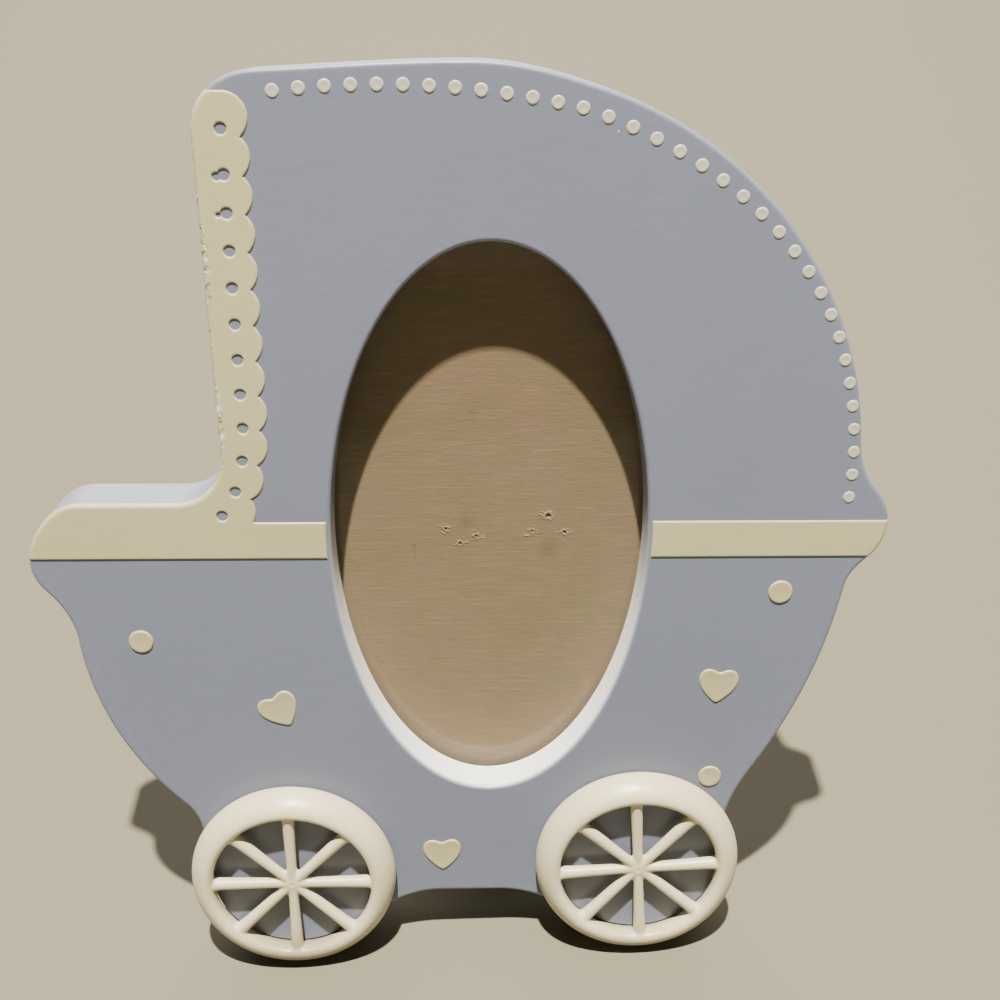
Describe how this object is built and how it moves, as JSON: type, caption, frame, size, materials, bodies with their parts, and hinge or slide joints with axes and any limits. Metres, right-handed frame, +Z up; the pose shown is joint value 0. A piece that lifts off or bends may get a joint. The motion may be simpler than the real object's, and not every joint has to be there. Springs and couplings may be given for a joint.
{
  "type": "photo frame",
  "caption": "Pram-shaped nursery photo frame with an oval window, scalloped collar, raised hearts and dots, spoked wheels and a folding easel strut.",
  "frame": {"origin": "middle of the bounding box at floor level, with the frame standing on its wheels and strut", "axes": "+Z up, -Y towards the viewer, +X to the viewer's right; the face leans back 15 degrees from upright"},
  "size_m": [0.1752, 0.072, 0.1871],
  "materials": {
    "body_paint": "cast resin under pale blue satin paint, with cream paint on the raised collar, band, hearts and dots",
    "wheel_paint": "cast resin under warm ivory satin paint",
    "clear_pane": "clear glass pane",
    "hardboard": "smooth tan hardboard",
    "velour": "black velour paper",
    "covered_board": "hardboard covered with black velour paper",
    "plated_steel": "plated pressed steel",
    "brassed_steel": "brass-plated pressed steel"
  },
  "bodies": {
    "frame": {"frame_body": "body_paint", "left_wheel": "wheel_paint", "right_wheel": "wheel_paint", "clear_pane": "clear_pane", "backboard": "hardboard", "velour_backing": "velour", "hinge_board_leaf": "plated_steel", "hinge_pin": "plated_steel", "board_rivet_left": "plated_steel", "board_rivet_right": "plated_steel", "button_screw_upper_left": "brassed_steel", "button_screw_upper_right": "brassed_steel", "button_screw_lower_left": "brassed_steel", "button_screw_lower_right": "brassed_steel"},
    "strut": {"easel_strut": "covered_board", "hinge_strut_leaf": "plated_steel", "strut_rivet_left": "plated_steel", "strut_rivet_right": "plated_steel"},
    "button_upper_left": {"turn_button_upper_left": "brassed_steel"},
    "button_upper_right": {"turn_button_upper_right": "brassed_steel"},
    "button_lower_left": {"turn_button_lower_left": "brassed_steel"},
    "button_lower_right": {"turn_button_lower_right": "brassed_steel"}
  },
  "joints": [
    {"name": "strut_fold", "type": "hinge", "parent": "frame", "child": "strut", "pos_m": [0.00909, 0.00828, 0.08716], "axis": [-0.9993, 0.0099, 0.0371], "range_deg": [0, 32]},
    {"name": "turn_upper_left", "type": "hinge", "parent": "frame", "child": "button_upper_left", "pos_m": [-0.04212, 0.02223, 0.14348], "axis": [0, 0.9659, -0.2588], "continuous": true},
    {"name": "turn_upper_right", "type": "hinge", "parent": "frame", "child": "button_upper_right", "pos_m": [0.05781, 0.02123, 0.13977], "axis": [0, 0.9659, -0.2588], "continuous": true},
    {"name": "turn_lower_left", "type": "hinge", "parent": "frame", "child": "button_lower_left", "pos_m": [-0.04565, -0.00157, 0.05468], "axis": [0, 0.9659, -0.2588], "continuous": true},
    {"name": "turn_lower_right", "type": "hinge", "parent": "frame", "child": "button_lower_right", "pos_m": [0.05427, -0.00256, 0.05097], "axis": [0, 0.9659, -0.2588], "continuous": true}
  ]
}
